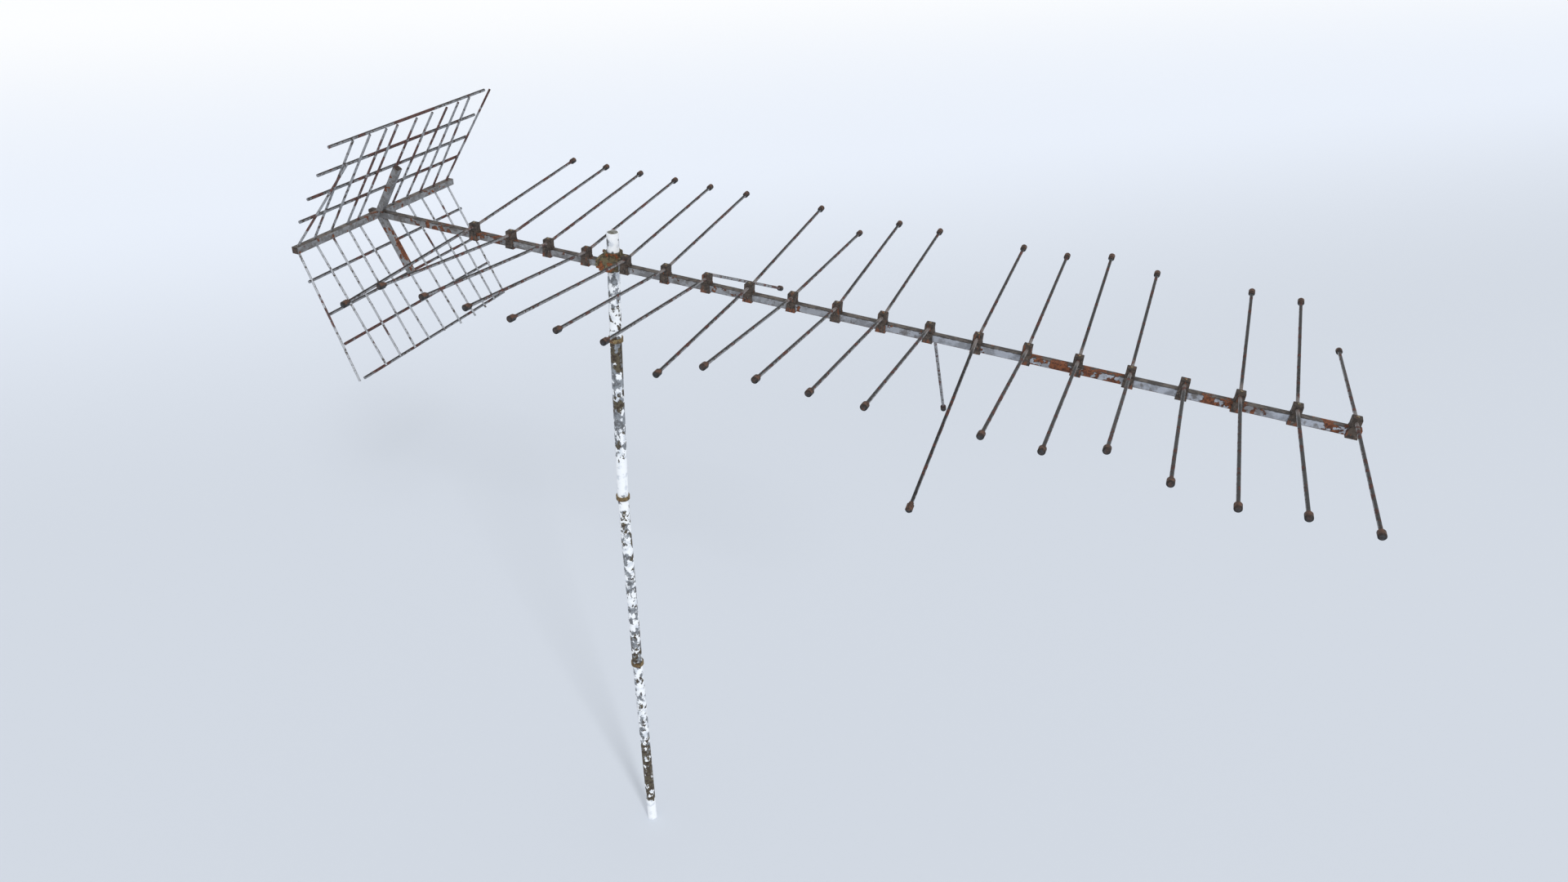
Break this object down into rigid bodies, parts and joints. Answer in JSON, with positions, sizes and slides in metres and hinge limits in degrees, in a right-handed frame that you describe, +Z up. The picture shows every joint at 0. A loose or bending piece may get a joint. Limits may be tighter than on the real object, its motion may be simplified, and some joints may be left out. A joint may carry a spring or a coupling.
{
  "type": "yagi antenna",
  "caption": "Weathered directional yagi antenna: square boom with capped rod elements, a rear corner reflector of rod racks, and a clamp on a sectional mast.",
  "frame": {"origin": "centre of the mast's foot, at its lowest end", "axes": "+Z up along the mast's lowest section, +X along the boom towards its nose (level but for the mast's bend), +Y across the boom along its rods"},
  "size_m": [2.9925, 1.1968, 2.9247],
  "materials": {
    "mast_paint": "chalky white paint, flaking to grey and brown",
    "collar_rust": "ochre paint and rust",
    "bare_steel": "bare, inside the mast",
    "grey_steel": "dull grey",
    "bush_plastic": "matt",
    "clamp_casting": "olive-brown paint with orange rust",
    "fastener_zinc": "dull zinc, rust stained",
    "galvanised_bar": "galvanised, with rust patches",
    "holder_steel": "weathered dark paint with rust at the edges",
    "element_steel": "dull zinc, rusted in bands",
    "rack_steel": "dull zinc, rusted in bands",
    "cap_rubber": "weathered dark brown"
  },
  "bodies": {
    "mast": {"mast_collar_1": "collar_rust", "mast_collar_2": "collar_rust", "mast_collar_3": "collar_rust", "mast_collar_screws": "fastener_zinc", "mast_section_1": "mast_paint", "mast_section_2": "mast_paint", "mast_section_3": "mast_paint", "mast_section_4": "mast_paint", "mast_spigots": "bare_steel", "mast_top_plug": "grey_steel"},
    "liner": {"clamp_liner": "bush_plastic"},
    "head": {"arm_end_plugs": "galvanised_bar", "boom": "galvanised_bar", "boom_nose_plug": "galvanised_bar", "boom_rear_plug": "galvanised_bar", "clamp_body": "clamp_casting", "clamp_cross_bolts": "fastener_zinc", "clamp_cross_nuts": "fastener_zinc", "clamp_foot_plate": "clamp_casting", "clamp_neck": "clamp_casting", "clamp_screws": "fastener_zinc", "crossbar_end_plugs": "galvanised_bar", "element_01": "element_steel", "element_02": "element_steel", "element_03": "element_steel", "element_04": "element_steel", "element_05": "element_steel", "element_06": "element_steel", "element_07": "element_steel", "element_08": "element_steel", "element_09": "element_steel", "element_10": "element_steel", "element_11": "element_steel", "element_12": "element_steel", "element_13": "element_steel", "element_14": "element_steel", "element_15": "element_steel", "element_16": "element_steel", "element_17": "element_steel", "element_18": "element_steel", "element_19": "element_steel", "element_20": "element_steel", "element_holders": "holder_steel", "element_saddles": "holder_steel", "far_end_caps": "cap_rubber", "holder_screws": "fastener_zinc", "lower_arm": "galvanised_bar", "lower_cross_rods": "rack_steel", "lower_rack_rods": "rack_steel", "near_end_caps": "cap_rubber", "reflector_back_block": "holder_steel", "reflector_back_bolt": "fastener_zinc", "reflector_crossbar": "galvanised_bar", "upper_arm": "galvanised_bar", "upper_cross_rods": "rack_steel", "upper_rack_rods": "rack_steel"}
  },
  "joints": [
    {"name": "mast_height", "type": "slide", "parent": "mast", "child": "liner", "axis": [0.0645, 0, 0.9979], "range_m": [-0.225, 0.05]},
    {"name": "azimuth", "type": "hinge", "parent": "liner", "child": "head", "pos_m": [0.05396, 0, 2.53118], "axis": [0.0645, 0, 0.9979], "continuous": true}
  ]
}
